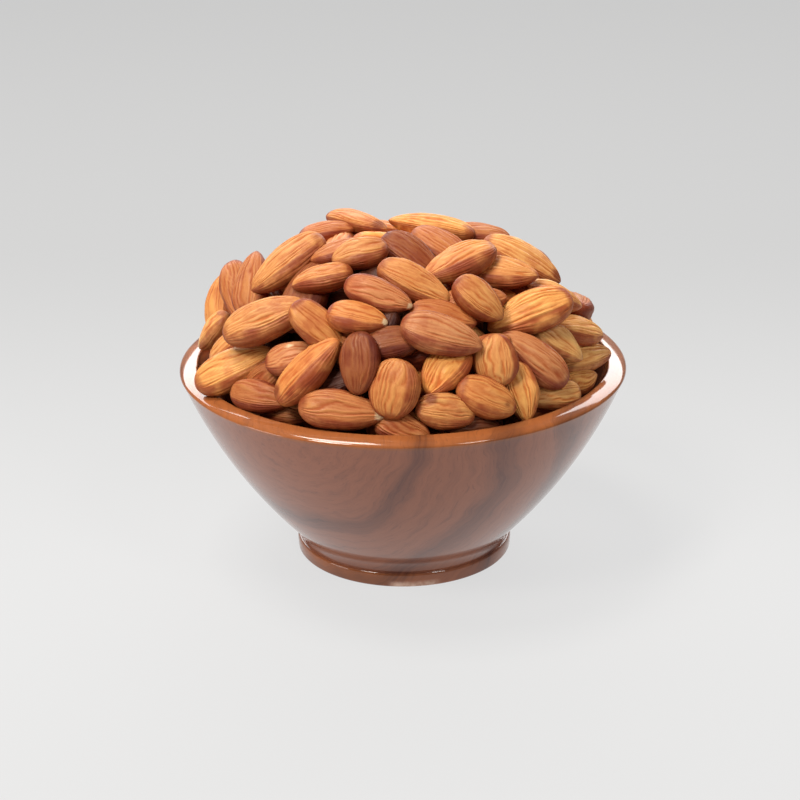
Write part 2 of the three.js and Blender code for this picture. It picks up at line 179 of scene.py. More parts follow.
def makeFloor():
    deselectAll()
    bpy.ops.mesh.primitive_plane_add(size=floorLook["side"], location=(0, floorLook["middle"], 0))
    floor = bpy.context.object
    floor.name = "floor"
    look, n, shader = newMaterial("paleFloor")
    place = n.add("ShaderNodeTexCoord").outputs["Object"]
    depth = n.add("ShaderNodeSeparateXYZ", {0: place}).outputs[1]
    start = floorLook["from"] - floorLook["middle"]
    share = n.maths("ADD", n.band(depth, start, start + floorLook["most"][0], 0.0, floorLook["most"][1]),
                    n.band(depth, start + floorLook["rest"][0], start + floorLook["rest"][1],
                           0.0, 1 - floorLook["most"][1]))
    near, far = floorLook["near"], floorLook["far"]
    glow = n.mixColour(share, (near, near, near, 1), (far, far, far, 1))
    n.tree.links.new(glow, shader.inputs["Emission Color"])
    shader.inputs["Base Color"].default_value = (floorLook["tone"],) * 3 + (1,)
    shader.inputs["Emission Strength"].default_value = 1.0
    shader.inputs["Roughness"].default_value = 0.9
    shader.inputs["Specular IOR Level"].default_value = 0.1
    floor.data.materials.append(look)


# the turned bowl, in millimetres: radius and height, as in the part
bowl = {
    "height": 64.0, "lipRadius": 70.0, "lipInner": 64.2, "lipRound": 2.0,
    "crease": (69.6, 61.2), "bodyPull": (58.0, 32.8), "bodyEnd": (36.9, 10.2),
    "covePull": (34.4, 7.5), "coveFoot": (33.7, 4.9),
    "footRadius": 34.5, "footHeight": 4.6, "footEdge": 0.8,
    "recessRadius": 26.0, "recessDepth": 1.6,
    "insideTop": (64.2, 61.5), "insidePull": (51.5, 30.0), "insideFloor": (27.0, 10.4),
    "insideRise": 1.2,     # the inside's curve starts this far above its top
    "floorHeight": 9.4, "sides": 160, "smoothBelow": 28,
}


def bend(a, b, c, t):
    return tuple(a[k] * (1 - t) ** 2 + b[k] * 2 * t * (1 - t) + c[k] * t * t for k in (0, 1))


def bowlOutline():
    foot, edge = bowl["footRadius"], bowl["footEdge"]
    line = [(0, bowl["recessDepth"]), (12, bowl["recessDepth"]),
            (bowl["recessRadius"] - 1.2, bowl["recessDepth"]), (bowl["recessRadius"], 0.0)]
    for i in range(5):
        a = math.radians(-90 + 90 * i / 4)
        line.append((foot - 0.1 - edge + edge * math.cos(a), edge + edge * math.sin(a)))
    shoulder = (foot, bowl["footHeight"] - 1.6)
    for i in range(7):
        line.append(bend(shoulder, (foot, bowl["footHeight"]), (foot - 0.7, bowl["footHeight"] + 0.1), i / 6))
    for i in range(8):
        line.append(bend(bowl["coveFoot"], bowl["covePull"], bowl["bodyEnd"], i / 8))
    for i in range(25):
        line.append(bend(bowl["bodyEnd"], bowl["bodyPull"], bowl["crease"], i / 24))
    reach = bowl["lipRadius"] - bowl["lipInner"]
    for i in range(12):
        a = math.radians(90 * i / 12)
        line.append((bowl["lipInner"] + reach * math.cos(a),
                     bowl["height"] - bowl["lipRound"] + bowl["lipRound"] * math.sin(a)))
    line += [(bowl["lipInner"] + 0.9, bowl["height"]), (bowl["lipInner"] + 0.45, bowl["height"] - 0.12),
             (bowl["lipInner"] + 0.12, bowl["height"] - 0.5)]
    top = (bowl["insideTop"][0], bowl["insideTop"][1] + bowl["insideRise"])
    for i in range(22):
        line.append(bend(top, bowl["insidePull"], bowl["insideFloor"], i / 21))
    line += [(16, bowl["floorHeight"] + 0.35), (0, bowl["floorHeight"])]
    return line


def makeBowl():
    line = [Vector((r / 1000, 0, z / 1000)) for r, z in bowlOutline()]
    deselectAll()
    bpy.ops.mesh.primitive_plane_add(size=0.001, location=line[0])
    ob = bpy.context.object
    ob.name = "turnedBowl"
    bpy.ops.object.transform_apply(location=True, rotation=False, scale=False)
    bpy.ops.object.mode_set(mode="EDIT")
    bpy.ops.mesh.select_all(action="SELECT")
    bpy.ops.mesh.merge(type="CENTER")
    for before, after in zip(line, line[1:]):
        bpy.ops.mesh.extrude_region_move(TRANSFORM_OT_translate={"value": after - before})
    bpy.ops.mesh.select_all(action="SELECT")
    bpy.ops.mesh.spin(steps=bowl["sides"], angle=2 * math.pi, center=(0, 0, 0), axis=(0, 0, 1))
    bpy.ops.mesh.select_all(action="SELECT")
    bpy.ops.mesh.remove_doubles(threshold=1e-6)
    bpy.ops.mesh.normals_make_consistent(inside=False)
    bpy.ops.object.mode_set(mode="OBJECT")
    bpy.ops.object.shade_smooth_by_angle(angle=math.radians(bowl["smoothBelow"]))
    for name in [m.name for m in ob.modifiers]:
        bpy.ops.object.modifier_apply(modifier=name)
    return ob


# how the almonds lie, in millimetres
heap = {
    "base": 66.0, "spread": 60.0, "rise": 41.0,   # dome through the middles of the outer almonds
    "outer": (2.8, -0.8),  # past its spread and rise, the dome that the rule's almonds keep within
    "coreBelow": 8.0,      # almonds sink no deeper than a core this far under that dome
    "darkCore": 15.0,      # the mound that shows between them, near-black as painted shade, lies this far under it
    "darkCoreFrom": 50.0,  # and is cut off level at this height
    "nestle": 0.7,         # neighbours may press into each other by this much
    "settle": 5.0,         # the farthest an almond sinks until it touches one below
    "press": 1.2,          # and how far it then presses into what carries it
    "proud": 1,            # an almond may lie this much outside its place on the dome
    "farthest": 40,        # or, if listed, this far behind it
    "turnCost": 0.06,      # mm that a degree of turning is worth
    "largest": (29.5, 15),                        # most length and breadth of the listed ones
    "thickByLength": 0.32, "thickLeast": 6.8, "thickByBreadth": 0.62,     # and their thickness
    "long": (21.5, 5), "broad": (0.50, 0.08), "thick": (0.31, 0.05),    # of the rule's: least, and more
    "slant": 22, "tipped": 35,                    # degrees, the most that the rule turns them
    "headFor": 12, "from": 200,                   # they head for a point this far under the base
    "photoSide": 0.10,                            # facing the camera more than this is the photo's side
    # rounds of the rule: tries, how far in one may slide, whether on the photo's side as well,
    # and how far inside the dome's spread and rise it starts
    "rounds": ((700, 1, False, 2, 5.5), (700, 5, False, 2, 5.5), (500, 7, True, 5.5, 7)),
    "deepRound": (1500, 7, True, 9, 10),
    "turns": ((0, 0), (-8, 0), (8, 0), (0, -8), (0, 8), (-14, 0), (14, 0), (0, -14), (0, 14),
              (-20, 0), (20, 0)),                 # degrees over and up, tried until one fits best
    # balls that stand for the wood: radius, how far out and down from its inside, how many in a
    # ring, and how many rings down how many steps of its curve
    "wallBall": 3.2, "wallOut": 2.5, "wallDown": 1.6, "wallBalls": 120, "wallRings": 15, "wallSteps": 18,
}
# Front ones first: across and up on the picture plane through the aim point (mm), turn of the
# pointed end, length and breadth as they appear, roll, lean, how far the flat side faces the
# viewer, the skin, and how deep its ridges are.
seenAlmonds = [
    (-13.3, 57.1, -14, 19.0, 8.3, 0, 0, 0.2, "tan", 0.7),
    (10.8, 57.2, 170, 27.9, 10.2, 0, 0, 0.2, "gold", 0.9),
    (-35.5, 43.8, 217, 28.6, 14.3, 0, 0, 0.6, "tan", 1.2),
    (-12.4, 47.0, 192, 18.4, 11.7, 0, 0, 0.6, "tan", 0.8),
    (-6.7, 34.3, -20, 22.8, 10.8, 35, 0, 0.4, "pink", 0.8),
    (13.7, 20.9, -17, 27.3, 14.0, 0, 0, 0.6, "pink", 1.1),
    (19.7, 45.1, 204, 24.8, 14.0, 10, 0, 0.5, "tan", 1.0),
    (5.1, 39.4, -30, 26.0, 12.7, 0, 0, 0.5, "tan", 1.2),
    (42.5, 28.3, 200, 28.6, 14.6, 0, 0, 0.7, "gold", 1.2),
    (45.1, 13.3, 142, 26.0, 13.3, 0, 0, 0.5, "pink", 1.0),
    (40.3, 45.7, -28, 27.9, 13.3, 0, 0, 0.4, "pale", 1.1),
    (-18.7, -3.5, -7, 28.2, 13.3, 0, 0, 0.5, "russet", 0.8),
    (-1.9, 3.5, 78, 19.4, 16.8, 0, 0, 0.5, "rust", 0.9),
    (-29.5, 9.5, 46, 27.9, 14.0, -20, 0, 0.6, "rust", 1.1),
    (-42.6, 26.0, 20, 29.2, 14.6, 0, 0, 0.6, "tan", 1.1),
    (14.6, 9.5, 230, 21.0, 14.0, 0, 0, 0.5, "amber", 0.9),
    (27.9, 0.3, -25, 20.3, 13.3, 0, 0, 0.5, "rust", 0.8),
    (-53.0, 10.5, 25, 26.0, 14.0, 0, 0, 0.6, "gold", 1.0),
    (30.8, 12.4, 96, 17.0, 14.6, 0, -10, 0.5, "tan", 0.8),
    (-26.0, 23.5, -43, 21.0, 12.1, 0, 0, 0.4, "rust", 0.6),
    (34.6, 41.3, -12, 21.0, 12.7, 0, 0, 0.5, "tan", 1.2),
    (59.6, 12.7, 14, 18.0, 9.6, 0, 0, 0.4, "pale", 1.1),
    (14.6, -4.1, -8, 19.0, 12.1, 0, 0, 0.5, "tan", 1.0),
    (-13.7, 27.0, -12, 19.7, 11.4, 0, 0, 0.5, "rust", 0.6),
    (-25.0, 40.2, 192, 20.0, 11.0, 0, 0, 0.4, "rust", 1.0),
    (3.8, 50.8, -35, 21.0, 12.1, 0, 0, 0.5, "brown", 0.6),
    (-13.0, 12.1, -92, 20.3, 13.3, 0, 0, 0.4, "brown", 0.5),
    (25.6, 32.1, -42, 19.4, 12.4, 0, 0, 0.5, "rust", 0.8),
    (57.2, 21.9, -10, 17.2, 10.2, 0, 0, 0.4, "pale", 0.7),
    (-35.5, 14.0, 12, 17.8, 11.4, 0, 0, 0.5, "pink", 0.7),
    (38.7, 2.2, -80, 19.7, 11.4, 0, 0, 0.5, "gold", 1.1),
    (50.0, 0.6, 188, 16.5, 10.4, 0, 0, 0.4, "pale", 0.6),
    (-44.8, 1.3, -12, 19.0, 10.8, 0, 0, 0.4, "russet", 0.5),
    (-52.0, 34.9, -77, 21.0, 11.4, 0, 0, 0.4, "russet", 1.0),
    (-59.5, 22.2, 230, 14.0, 10.0, 0, 0, 0.4, "pale", 0.7),
    (14.6, 28.3, -10, 22.2, 12.7, 0, 0, 0.4, "russet", 0.8),
    (26.0, 54.0, -15, 20.3, 10.8, 0, 0, 0.3, "russet", 0.7),
    (-23.4, 54.4, 10, 18.0, 9.8, 0, 0, 0.2, "russet", 0.6),
    (-19.7, 48.2, 200, 18.4, 10.8, 0, 0, 0.3, "russet", 0.7),
    (57.1, 4.6, 20, 14.5, 8.6, 0, 0, 0.4, "gold", 1.1),
    (50.2, 33.0, -20, 18.5, 10.2, 0, 0, 0.3, "pale", 0.9),
    (-42.2, 7.0, 40, 19.0, 11.4, 0, 0, 0.4, "russet", 0.7),
    (-57.5, 31.1, 75, 19.0, 10.8, 0, 0, 0.4, "tan", 0.9),
    (-47.0, 37.8, 80, 21.0, 12.1, 0, 0, 0.4, "russet", 0.9),
    (-2.2, 18.4, 10, 19.7, 12.1, 0, 0, 0.4, "brown", 0.8),
    (41.3, 35.6, -30, 19.7, 11.4, 0, 0, 0.3, "russet", 0.9),
    (50.8, 18.4, -40, 19.0, 11.4, 0, 0, 0.3, "pale", 0.9),
    (0.6, -9.5, -15, 19.0, 10.8, 0, 0, 0.4, "russet", 1.0),
    (-22.9, 4.1, 20, 19.7, 11.4, 0, 0, 0.4, "shade", 0.8),
    (-36.5, -3.2, -10, 19.0, 10.2, 0, 0, 0.4, "russet", 0.7),
    (-55.2, 18.4, 40, 18.4, 10.8, 0, 0, 0.4, "tan", 0.8),
    (43.8, -1.6, 10, 17.8, 10.2, 0, 0, 0.4, "russet", 0.7),
    (22.9, -8.9, 0, 17.8, 10.2, 0, 0, 0.4, "umber", 0.8),
    (26.7, 14.9, 30, 19.0, 10.8, 0, 0, 0.4, "russet", 0.8),
    (-17.8, 19.7, -40, 19.0, 11.4, 0, 0, 0.4, "russet", 0.8),
    (-5.4, 20.9, 60, 19.0, 10.8, 0, 0, 0.4, "shade", 0.8),
]


def drawer(seed):
    state = [seed]

    def draw():
        state[0] = (state[0] * 1664525 + 1013904223) % 4294967296
        return state[0] / 4294967296
    return draw


def unit(v):
    return v / math.sqrt(float(v @ v))


def turned(v, axis, degrees):
    c, s = math.cos(math.radians(degrees)), math.sin(math.radians(degrees))
    return v * c + np.cross(axis, v) * s + axis * (axis @ v) * (1 - c)


def axesFrom(along, flat):
    along = unit(along)
    flat = unit(flat - along * (flat @ along))
    return np.stack([along, np.cross(flat, along), flat])


def reachDome(start, way, spread, rise):
    # distance to the dome, or the nearest it gets
    scale = np.array([spread, spread, rise])
    o = (start - np.array([0, 0, heap["base"]])) / scale
    d = way / scale
    a, b, c = d @ d, o @ d, o @ o - 1
    inside = b * b - a * c
    return (-b - math.sqrt(inside)) / a if inside > 0 else -b / a


def outwardAt(p):
    return unit(np.array([p[0] / heap["spread"] ** 2, p[1] / heap["spread"] ** 2,
                          (p[2] - heap["base"]) / heap["rise"] ** 2]))


almondShape = {"blunt": 0.45, "pointed": 0.70}    # powers of the outline at the two ends


def outlineAt(s, pointed=almondShape["pointed"]):
    a, b = almondShape["blunt"], pointed
    widest = (a - b) / (a + b)
    return (1 + s) ** a * (1 - s) ** b / ((1 + widest) ** a * (1 - widest) ** b)


def almondBalls(long, broad, thick):
    # balls that stand for an almond while it is being laid: along, aside, radius
    balls = []
    for s in (-0.82, -0.44, 0, 0.42, 0.80):
        wide = outlineAt(s)
        middle = thick / 2 * wide * 0.97
        edge = min(middle, max(0.7 * middle, 0.35 * broad / 2 * wide))
        aside = max(broad / 2 * wide * 0.98 - edge, 0)
        along = s * long / 2 * 0.98
        balls += [(along, -aside, edge), (along, 0, middle), (along, aside, edge)]
    return np.array(balls)


class Heap:
    def __init__(self):
        places, radii = [], []
        top = (bowl["insideTop"][0], bowl["insideTop"][1] + bowl["insideRise"])
        for k in range(heap["wallRings"]):
            r, z = bend(top, bowl["insidePull"], bowl["insideFloor"], k / heap["wallSteps"])
            r += heap["wallOut"]
            for i in range(heap["wallBalls"]):
                a = i / heap["wallBalls"] * 2 * math.pi
                places.append((r * math.cos(a), r * math.sin(a), z - heap["wallDown"]))
                radii.append(heap["wallBall"])
        self.places, self.radii = np.array(places), np.array(radii)
        self.laid = []

    def centres(self, at, axes, balls):
        return at + balls[:, :1] * axes[0] + balls[:, 1:2] * axes[1]

    def free(self, at, way, axes, balls, start, limit):
        # first free distance along the way, at least start
        gap = self.centres(at, axes, balls)[:, None] - self.places[None]
        reach = np.maximum(balls[:, 2][:, None] + self.radii[None] - heap["nestle"], 0)
        b = gap @ way
        inside = b * b - (gap * gap).sum(2) + reach * reach
        hit = inside > 0
        half = np.sqrt(inside[hit])
        low, high = -b[hit] - half, -b[hit] + half
        t = start
        for i in np.argsort(low, kind="stable"):
            if low[i] > t:
                break
            t = max(t, high[i])
            if t > limit:
                return math.inf
        return t

    def lay(self, at, axes, size, balls, **more):
        first = len(self.radii)
        self.places = np.vstack([self.places, self.centres(at, axes, balls)])
        self.radii = np.append(self.radii, balls[:, 2])
        self.laid.append(dict(at=at, axes=axes, size=size, first=first, last=len(self.radii), **more))

    def settle(self):
        # each almond, the deepest first, sinks until it touches the core or one that lies below
        def depth(item):
            x, y, z = item["at"]
            return math.hypot(x / heap["spread"], y / heap["spread"], (z - heap["base"]) / heap["rise"])
        for item in sorted(self.laid, key=depth):
            way = -outwardAt(item["at"])
            mine = slice(item["first"], item["last"])
            t = heap["settle"]
            for p, r in zip(self.places[mine], self.radii[mine]):
                lower = heap["coreBelow"] - r + heap["press"]
                t = min(t, max(reachDome(p, way, heap["spread"] - lower, heap["rise"] - lower), 0))
            others = np.ones(len(self.radii), bool)
            others[mine] = False
            gap = self.places[mine][:, None] - self.places[others][None]
            reach = self.radii[mine][:, None] + self.radii[others][None] - heap["press"]
            b = gap @ way
            inside = b * b - (gap * gap).sum(2) + reach * reach
            hit = (inside > 0) & (b < 0)
            if hit.any():
                t = min(t, float(np.maximum(-b[hit] - np.sqrt(inside[hit]), 0).min()))
            item["at"] = item["at"] + way * t
            self.places[mine] += way * t


def standsOut(at, axes, balls):
    # true when an almond of the rule stands out past the heap's outer dome
    p = at + balls[:, :1] * axes[0] + balls[:, 1:2] * axes[1]
    spread, rise = (heap[side] + more - balls[:, 2] for side, more in zip(("spread", "rise"), heap["outer"]))
    return bool((((p[:, 0] ** 2 + p[:, 1] ** 2) / spread ** 2
                  + ((p[:, 2] - heap["base"]) / rise) ** 2) > 1).any())


def layHeap():
    pile = Heap()
    tilt = math.radians(view["elevation"])
    forward = np.array([0, math.cos(tilt), -math.sin(tilt)])
    right, up = np.array([1.0, 0, 0]), np.array([0, math.sin(tilt), math.cos(tilt)])
    far = view["distance"] * 1000
    eye = np.array(view["aim"]) * 1000 - forward * far
    for across, high, turnBy, long, broad, roll, lean, facing, skin, ridged in seenAlmonds:
        way = unit(forward * far + right * across + up * high)
        spot = eye + way * reachDome(eye, way, heap["spread"], heap["rise"])
        flat = unit(outwardAt(spot) * (1 - facing) - way * facing)
        pointing = right * math.cos(math.radians(turnBy)) + up * math.sin(math.radians(turnBy))
        along = unit(np.cross(flat, np.cross(way, pointing)))
        if along @ pointing < 0:
            along = -along
        u, v, n = axesFrom(along, flat)
        grow = (spot - eye) @ forward / far
        shortening = math.sqrt(max(0.3, 1 - (u @ way) ** 2))
        size = [min(long * grow / shortening, heap["largest"][0]), min(broad * grow, heap["largest"][1])]
        thick = max(heap["thickByLength"] * size[0], heap["thickLeast"])
        size.append(min(thick, heap["thickByBreadth"] * size[1] + 1))
        v1, n1 = turned(v, u, roll), turned(n, u, roll)
        u2, n2 = turned(u, v1, -lean), turned(n1, v1, -lean)
        balls = almondBalls(*size)
        best = None
        for over, tip in heap["turns"]:
            side = turned(v1, u2, over)
            axes = np.stack([turned(u2, side, tip), side, turned(turned(n2, u2, over), side, tip)])
            t = pile.free(spot, way, axes, balls, -heap["proud"], heap["farthest"])
            cost = t + heap["turnCost"] * (abs(over) + abs(tip))
            if t < heap["farthest"] and (best is None or cost < best[0]):
                best = (cost, t, axes)
        if best:
            pile.lay(spot + way * best[1], best[2], size, balls, skin=skin, ridged=ridged, seen=True)

    draw = drawer(7)

    def fill(count, deepest, everywhere, inward, lower):
        for i in range(count):
            around = i * math.pi * (3 - math.sqrt(5))      # the golden angle
            climb = math.asin(1 - draw() * 0.93)
            d = [draw() for k in range(6)]
            way = -np.array([math.cos(climb) * math.cos(around), math.cos(climb) * math.sin(around),
                             math.sin(climb)])
            start = np.array([0, 0, heap["base"] - heap["headFor"]]) - way * heap["from"]
            spot = start + way * reachDome(start, way, heap["spread"] - inward, heap["rise"] - lower)
            out = outwardAt(spot)
            if not everywhere and out @ -unit(spot - eye) > heap["photoSide"]:
                continue
            least, more = zip(heap["long"], heap["broad"], heap["thick"])
            long = least[0] + more[0] * d[0]
            size = [long, long * (least[1] + more[1] * d[1]), long * (least[2] + more[2] * d[2])]
            level = np.array([0, 1.0, 0]) if abs(out[2]) > 0.95 else np.array([0, 0, 1.0])
            along = turned(unit(np.cross(out, level)), out, 360 * d[3])
            along = turned(along, unit(np.cross(out, along)), -heap["slant"] + 2 * heap["slant"] * d[4])
            axes = axesFrom(along, turned(out, along, -heap["tipped"] + 2 * heap["tipped"] * d[5]))
            balls = almondBalls(*size)
            t = pile.free(spot, way, axes, balls, -heap["proud"], deepest)
            if t > deepest:
                continue
            at = spot + way * t
            if not everywhere and standsOut(at, axes, balls):
                continue
            pile.lay(at, axes, size, balls, skin=None, ridged=0.6 + 0.5 * d[2], seen=False)

    for one in heap["rounds"]:
        fill(*one)
    pile.settle()
    sized = len(pile.laid)
    fill(*heap["deepRound"])      # a last layer, only glimpsed between the others
    for item in pile.laid[sized:]:
        item["deep"] = True
    return pile.laid


# an almond's shape and skin
almond = {
    "seen": (160, 30), "side": (84, 22), "deep": (36, 14),    # points round and along
    "upper": 0.66,         # share of the points round that lie on the outward side
    "round": 2.6,          # power of the section, 2 is an ellipse
    "show": 20.0,          # degrees, how far a flat side turns up to the light, so that the lower
                           # flank comes into view
    "tip": (0.58, 0.66),   # power of the outline at the pointed end, from one almond to the next
    "bow": 0.5,            # mm, how much the pointed end swings to one side
    "veins": 24,           # ridges round the section
    "uneven": 1.0,         # how unevenly they are spaced, in ridge widths
    "wander": 0.42,        # how far one strays on its way along
    "relief": 0.32,        # mm, ridge height at depth 1
    "dents": 0.55,         # mm, slow hollows of the flat sides
    "sky": (-0.38, -0.05, 0.92),    # the way up and to the left
    "deepShade": 0.35,      # painted shade: what the lowest ones, lying in the heap's shadow, multiply their skin's colour by
}
# skins: the colour of their ridge tops
skins = {
    "pale": (0.777, 0.389, 0.125),
    "gold": (0.741, 0.336, 0.091),
    "amber": (0.882, 0.378, 0.091),
    "tan": (0.630, 0.275, 0.084),
    "rust": (0.598, 0.239, 0.067),
    "pink": (0.557, 0.223, 0.085),
    "russet": (0.462, 0.160, 0.047),
    "brown": (0.273, 0.078, 0.022),
    "umber": (0.168, 0.048, 0.015),
    # shade: painted shade, a near-black skin for almonds that lie in the heap's dark gaps
    "shade": (0.080, 0.019, 0.006),
}
ruleSkins = ("tan", "rust", "russet", "brown", "pink", "amber", "russet", "gold", "tan", "rust")
# those of the sides that can be glimpsed from the front, by their number
restSkins = {97: "shade", 105: "russet", 114: "shade", 126: "brown", 135: "brown"}
# by row of seenAlmonds: a bare cream scar, along and aside on the outward face, and its radius in mm
creamScars = {4: (0.95, 0.0, 1.0), 11: (0.88, 0.0, 1.9), 14: (0.95, 0.0, 1.1), 23: (0.92, 0.0, 1.2),
              29: (0.0, 0.5, 1.1), 34: (0.72, 0.0, 2.0)}
# dark spots, told in the same way: a bruise on row 16, painted shade on rows 0, 13 and 22
bruisesAndShade = {0: (0.80, -0.3, 2.6), 10: (0.85, 0.0, 2.6), 13: (-0.80, 0.3, 2.4), 16: (0.62, 0.0, 1.7),
           22: (-0.55, 0.6, 2.2)}
# rows whose pointed end is round: the power of its outline
roundTips = {3: 0.52, 12: 0.44, 16: 0.54, 18: 0.52, 22: 0.50, 26: 0.55}


class Lattice:
    # smooth 3-D noise of about -1 to 1 from a seeded lattice
    def __init__(self, seed):
        draw = drawer(seed)
        self.table = np.array([draw() * 2 - 1 for k in range(4096)])

    def corner(self, cell):
        x, y, z = cell[..., 0], cell[..., 1], cell[..., 2]
        return self.table[(x * 1619 + y * 31337 + z * 6971 + (x ^ (y << 3) ^ (z << 6)) * 101) & 4095]

    def at(self, p):
        cell = np.floor(p).astype(np.int64)
        f = p - cell
        f = f * f * f * (f * (f * 6 - 15) + 10)
        total = 0
        for dx in (0, 1):
            for dy in (0, 1):
                for dz in (0, 1):
                    w = (f[..., 0] if dx else 1 - f[..., 0]) * (f[..., 1] if dy else 1 - f[..., 1]) \
                        * (f[..., 2] if dz else 1 - f[..., 2])
                    total = total + w * self.corner(cell + np.array([dx, dy, dz]))
        return total


lattice = Lattice(11)


def makeAlmondForm(name, around, along):
    # a ball to be drawn out: poles on X, its points closer together on the upper side
    deselectAll()
    bpy.ops.mesh.primitive_uv_sphere_add(segments=around, ring_count=along, radius=1)
    ob = bpy.context.object
    ob.name = name
    bpy.ops.object.mode_set(mode="EDIT")
    bpy.ops.mesh.select_all(action="SELECT")
    bpy.ops.transform.rotate(value=math.radians(-90), orient_axis="Y", center_override=(0, 0, 0))
    bpy.ops.object.mode_set(mode="OBJECT")
    mesh = ob.data
    points = np.empty(len(mesh.vertices) * 3)
    mesh.vertices.foreach_get("co", points)
    points = points.reshape(-1, 3)
    share = np.arctan2(points[:, 2], points[:, 1]) / (2 * math.pi) % 1
    upper = almond["upper"]
    angle = np.where(share < upper, share / upper, 1 + (share - upper) / (1 - upper)) * math.pi
    corners = np.empty(len(mesh.loops), dtype=np.int64)
    mesh.loops.foreach_get("vertex_index", corners)
    starts = np.empty(len(mesh.polygons), dtype=np.int64)
    mesh.polygons.foreach_get("loop_start", starts)
    bpy.data.objects.remove(ob)
    return dict(along=np.clip(points[:, 0], -1, 1), angle=angle, corners=corners, starts=starts)


def almondSurface(form, item, seed):
    # where one almond's points go, and what its skin needs to know at each of them
    long, broad, thick = item["size"]
    s, angle = form["along"], form["angle"]
    draw = drawer(seed * 7919 + 17)
    shift = np.array([draw(), draw(), draw()]) * 57
    low, high = almond["tip"]
    tip = low + (high - low) * draw()
    if item["seen"]:
        tip = roundTips.get(seed, tip)
    wide = np.where(np.abs(s) > 0.99999, 0, outlineAt(np.clip(s, -0.99999, 0.99999), tip))
    power = 2 / almond["round"]
    cosA, sinA = np.cos(angle), np.sin(angle)
    y = np.sign(cosA) * np.abs(cosA) ** power * wide
    z = np.sign(sinA) * np.abs(sinA) ** power * wide

    def cloud(alongScale, roundScale, move):
        return lattice.at(np.stack([s * alongScale, cosA * roundScale, sinA * roundScale], -1) + shift + move)

    # long ridges, unevenly spaced, that stray, fade out and run together at the ends
    phase = angle / (2 * math.pi) * almond["veins"] + almond["uneven"] * cloud(0.5, 2.2, 3) \
        + almond["wander"] * (1.5 * cloud(1.5, 1.5, 9) + 0.7 * cloud(3.6, 4.0, 31))
    strong = np.clip(0.55 + 1.0 * cloud(2.8, 4.2, 77), 0.04, 1)
    valley = (0.5 + 0.5 * np.cos(phase * 2 * math.pi)) ** 4 * strong
    small = (0.5 + 0.5 * np.cos(phase * 4.6 * math.pi + 4 * cloud(2.5, 2.5, 53))) ** 3 * (1 - strong * 0.6)
    crest = (0.5 - 0.5 * np.cos(phase * 2 * math.pi)) ** 3 * np.clip(0.55 + 0.9 * cloud(1.9, 3.1, 63), 0, 1)
    rises = upward(item)      # painted shade: the dark flank is broader on the lower side, away from the light
    edge = np.where(cosA * rises < 0, 0.72 - 0.30 * abs(rises), 0.74)
    flankAndShade = (np.abs(cosA) - edge) / 0.16 + 0.6 * cloud(1.4, 1.6, 41)
    # and goes round both ends, the blunt one most
    atEnds = np.where(s < 0, -s - 0.76, s - 0.86) / 0.14 + 0.9 * cloud(2, 2, 43)
    flankAndShade = np.clip(np.maximum(flankAndShade, atEnds), 0, 1)
    flankAndShade = flankAndShade * flankAndShade * (3 - 2 * flankAndShade)
    ends = np.clip(1 - np.abs(s) ** 6, 0, 1)
    furrow = (np.clip(valley + 0.38 * small, 0, 1) - 0.5 * crest) * ends * (1 - 0.55 * flankAndShade)
    slow = lattice.at(np.stack([s * 1.6, y * 1.3, z * 1.3], -1) + shift)
    lift = -furrow * almond["relief"] * item["ridged"] + slow * almond["dents"] * 0.5 * ends
    size = np.array([long / 2, broad / 2, thick / 2])
    place = np.stack([s, y, z], -1) * size
    out = np.stack([s * 0.35, cosA * size[2] / size[1], sinA], -1)
    out /= np.linalg.norm(out, axis=1, keepdims=True)
    place = place + out * lift[:, None] * np.minimum(wide * 2, 1)[:, None]
    side = (draw() - 0.5) * 2
    place[:, 1] += almond["bow"] * side * (s * s - 0.3) * (s > 0) * 1.4
    scar = np.zeros(len(s))
    if item["seen"] and seed in creamScars:
        along, aside, radius = creamScars[seed]
        width = outlineAt(along, tip)
        spot = np.array([along, aside * width, math.sqrt(1 - aside * aside) * width]) * size
        scar = np.clip((radius - np.linalg.norm(place - spot, axis=1) + 0.3 * cloud(5, 5, 91)) / 0.3, 0, 1)
    bruiseAndShade = np.zeros(len(s))
    if item["seen"] and seed in bruisesAndShade:
        along, aside, radius = bruisesAndShade[seed]
        width = outlineAt(along, tip)
        spot = np.array([along, aside * width, math.sqrt(1 - aside * aside) * width]) * size
        bruiseAndShade = np.clip((radius - np.linalg.norm(place - spot, axis=1) + 0.8 * cloud(3, 3, 97)) / 1.2, 0, 1)
    world = (item["at"] + place @ showing(item)) / 1000
    return dict(world=world, skinPlace=place / 1000 + shift * 0.01, furrow=furrow, flankAndShade=flankAndShade, scar=scar,
                bruiseAndShade=bruiseAndShade)


def upward(item):
    # 1 where its broad side points up and to the left, -1 where it points down
    if item.get("deep"):
        return 0
    return float(np.clip(item["axes"][1] @ np.array(almond["sky"]) / 0.6, -1, 1))


def showing(item):
    # its axes with the flat side turned a little up and to the left
    long, broad, thick = item["axes"]
    angle = -upward(item) * almond["show"]
    return np.stack([long, turned(broad, long, angle), turned(thick, long, angle)])


def skinColour(item, seed):
    draw = drawer(seed * 104729 + 5)
    base = np.array(skins[item["skin"] or restSkins.get(seed) or ruleSkins[seed % len(ruleSkins)]])
    light, warm = 0.92 + 0.16 * draw(), 0.96 + 0.08 * draw()
    tint = base * light * np.array([1, 1 / warm, 1 / warm ** 2])
    # painted shade: the lowest almonds' skin is darkened
    return tint * (almond["deepShade"] if item.get("deep") else 1)


